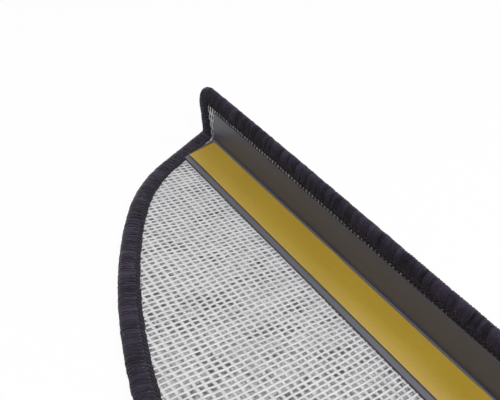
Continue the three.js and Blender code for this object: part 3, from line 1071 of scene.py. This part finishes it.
# %% Satin plastic
def angle_material():
    """Extruded grey plastic, a little dusty."""
    material, graph, shader = new_material("angle_plastic", {"Specular IOR Level": 0.65})
    lines = grain(graph, (6, 1600, 1600))
    ripple = grain(graph, (28, 60, 60))
    dust = grain(graph, scale=900, detail=4, roughness=0.7)
    colour = blend(graph, lines * 0.6 + dust * 0.3, screen(69, 68, 77), screen(91, 90, 101))
    height = ripple * 0.9 + lines * 0.03
    graph.feed(shader, {"Base Color": colour, "Roughness": 0.3 + 0.22 * dust})
    graph.feed(shader, {"Normal": bump(graph, height, 0.8 * MM, 0.5)})
    return material


dress("angle_profile", angle_material())

# %% [markdown]
# ## The tape and its liner
#
# A strip of double-sided tape runs along the angle, and a yellow release paper covers it.
# The tape stays as its solid. The liner is a new sheet, because paper that is laid over adhesive
# never lies quite flat: it lifts a few tenths of a millimetre along its free edges.

# %% Tape finish
def tape_material():
    """Pale tape. Its face is hidden under the liner, so the colour is a guess."""
    material, graph, shader = new_material("tape", {"Specular IOR Level": 0.5})
    cloudy = grain(graph, scale=260, detail=3)
    colour = blend(graph, cloudy, screen(206, 196, 168), screen(224, 216, 194))
    graph.feed(shader, {"Base Color": colour, "Roughness": 0.25 + 0.2 * cloudy})
    return material


dress("adhesive_tape", tape_material())


# %% Liner finish
def liner_material():
    """Yellow paper with a thin smooth coat."""
    material, graph, shader = new_material("liner", {"Specular IOR Level": 0.8, "Coat Roughness": 0.25})
    fibres = grain(graph, (260, 900, 900), detail=4, roughness=0.65)
    clouds = grain(graph, (14, 40, 40), detail=3)
    colour = blend(graph, fibres * 0.6 + clouds * 0.4, screen(150, 121, 20), screen(185, 154, 49))
    graph.feed(shader, {"Base Color": colour, "Roughness": 0.34 + 0.15 * clouds})
    graph.feed(shader, {"Coat Weight": 0.15 * clouds, "Normal": bump(graph, fibres, 0.05 * MM, 0.5)})
    return material


# %% The liner as a sheet
LINER_THICKNESS = 0.15 * MM
LINER_STEPS_X = 220
LINER_STEPS_Y = 8
LINER_LIFT = 0.25 * MM
LINER_WAVES = [(40, 1.5), (95, 2.5), (150, 3.5), (205, 4.5)]
LINER_RIPPLE = 0.04 * MM
RIPPLE_RATE = 23
END_REACH = 0.1 * MM


def liner_mesh():
    """A sheet between the ends of the liner's solid, closed all round, with slightly lifted edges."""
    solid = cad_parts["release_liner"].data
    near_y = min(vertex.co.y for vertex in solid.vertices)
    far_y = max(vertex.co.y for vertex in solid.vertices)
    near_x = max(vertex.co.x for vertex in solid.vertices if vertex.co.y < near_y + END_REACH)
    far_x = max(vertex.co.x for vertex in solid.vertices if vertex.co.y > far_y - END_REACH)
    base = min(vertex.co.z for vertex in solid.vertices)
    random.seed(31)
    phases = [random.uniform(0, 2 * math.pi) for _ in range(len(LINER_WAVES) + 1)]

    def height(x, t):
        """How far the paper lifts: most along its long edges, and a little everywhere."""
        edge = abs(2 * t - 1) ** 3
        waves = zip(LINER_WAVES, phases)
        wave = sum(math.sin(x * rate + phase + 2 * t) / weaker for (rate, weaker), phase in waves)
        ripple = 1 + math.sin(x * RIPPLE_RATE + phases[-1])
        return LINER_LIFT * edge * max(wave, 0) + LINER_RIPPLE * ripple

    points = []
    for layer in range(2):
        for i in range(LINER_STEPS_X + 1):
            for j in range(LINER_STEPS_Y + 1):
                t = j / LINER_STEPS_Y
                along = 2 * i / LINER_STEPS_X - 1
                x = along * (near_x + (far_x - near_x) * t)
                z = base + height(x, t) + layer * LINER_THICKNESS
                points.append((x, near_y + (far_y - near_y) * t, z))
    columns = LINER_STEPS_Y + 1
    sheet = (LINER_STEPS_X + 1) * columns
    faces = []
    for i in range(LINER_STEPS_X):
        for j in range(LINER_STEPS_Y):
            a = i * columns + j
            b, c, d = a + columns, a + columns + 1, a + 1
            faces.append((a, d, c, b))
            faces.append((a + sheet, b + sheet, c + sheet, d + sheet))
    ring = [i * columns for i in range(LINER_STEPS_X + 1)]
    ring += [LINER_STEPS_X * columns + j for j in range(1, columns)]
    ring += [i * columns + LINER_STEPS_Y for i in range(LINER_STEPS_X - 1, -1, -1)]
    ring += [j for j in range(LINER_STEPS_Y - 1, 0, -1)]
    for a, b in zip(ring, ring[1:] + ring[:1]):
        faces.append((a, b, b + sheet, a + sheet))
    mesh = new_mesh("release_liner_paper", points, [], faces)
    mesh.materials.append(liner_material())
    return mesh


liner = show("release_liner_paper", liner_mesh())
keep(liner, "release_liner")

# %% [markdown]
# ## Floor and light
#
# The floor is plain and pale. The camera sees it nearly white, and it still takes the mat's shadow.
# Light comes from a white world and two large soft lamps, one above to the right and one behind
# the mat, at a level at which colours render about as they are written.

# %% The floor
FLOOR_SIZE = 8
FLOOR_GLOW = 0.95
FLOOR_GREY = screen(236, 236, 236)


def seen(graph):
    """1 for a ray that shows a surface to the eye, straight, mirrored or through glass, else 0."""
    path = graph.add("ShaderNodeLightPath", output="Is Camera Ray")
    mirrored, through = path["Is Glossy Ray"], path["Is Transmission Ray"]
    return path.math("MAXIMUM", mirrored).math("MAXIMUM", through)


def add_floor():
    """A pale floor under the pile. To the camera, most of it is plain white."""
    half = FLOOR_SIZE / 2
    corners = [(-half, -half, 0), (half, -half, 0), (half, half, 0), (-half, half, 0)]
    mesh = new_mesh("floor", corners, [], [(0, 1, 2, 3)])
    material, graph, shader = new_material("floor", {"Roughness": 0.9, "Specular IOR Level": 0.1})
    shader.inputs["Base Color"].default_value = FLOOR_GREY
    glow = graph.add("ShaderNodeEmission", {"Color": (1, 1, 1, 1), "Strength": 1})
    plain = Value(graph, shader.outputs[0])
    mixed = graph.add("ShaderNodeMixShader", {0: seen(graph) * FLOOR_GLOW, 1: plain, 2: glow})
    graph.feed(material.node_tree.nodes["Material Output"], {"Surface": mixed})
    mesh.materials.append(material)
    floor = show("floor", mesh)


add_floor()

# %% The world and the lamps
WORLD_LEVEL = 0.22
LAMPS = [
    {"name": "key", "place": (0.8, -0.25, 1.6), "size": 1.0, "power": 30},
    {"name": "rim", "place": (-0.2, 1.5, 1.3), "size": 1.4, "power": 13},
]


def add_world():
    """White all round: bright to the camera and in reflections, softer as a source of light."""
    world = bpy.data.worlds.new("studio")
    world.use_nodes = True
    graph = Graph(world.node_tree)
    back = world.node_tree.nodes["Background"]
    graph.feed(back, {"Color": (1, 1, 1, 1), "Strength": WORLD_LEVEL + (1 - WORLD_LEVEL) * seen(graph)})
    scene.world = world


def add_lamp(name, place, size, power):
    """A large square lamp that faces the mat."""
    data = bpy.data.lights.new(name, "AREA")
    data.size = size
    data.energy = power
    lamp = show(name, data)
    lamp.location = place
    lamp.rotation_euler = (-Vector(place)).to_track_quat("-Z", "Y").to_euler()


add_world()
for lamp in LAMPS:
    add_lamp(**lamp)
scene.view_settings.view_transform = "Standard"
print("lamps:", [lamp["name"] for lamp in LAMPS])
